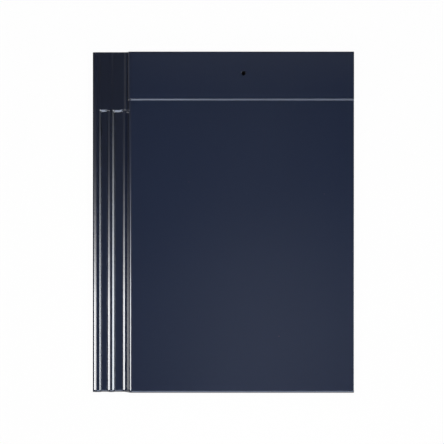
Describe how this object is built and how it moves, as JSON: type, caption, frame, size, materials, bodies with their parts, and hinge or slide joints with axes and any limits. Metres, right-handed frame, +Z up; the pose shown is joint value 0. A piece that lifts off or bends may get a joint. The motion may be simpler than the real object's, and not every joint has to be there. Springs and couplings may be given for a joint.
{
  "type": "glazed roof tile",
  "caption": "Flat interlocking clay roof tile with a ribbed side lock, cover flap, raised head, nail hole, hanging nibs and tail lip.",
  "frame": {"origin": "bottom centre of the bounding box, on the plane of the nib feet and the tail lip's foot", "axes": "+X across the tile from the side lock to the cover flap, +Y from the tail to the head, +Z up out of the glazed face"},
  "size_m": [0.3104, 0.405, 0.0315],
  "materials": {
    "glaze": "gloss navy glaze on fired clay"
  },
  "bodies": {
    "root": {"roof_tile": "glaze"}
  },
  "joints": []
}
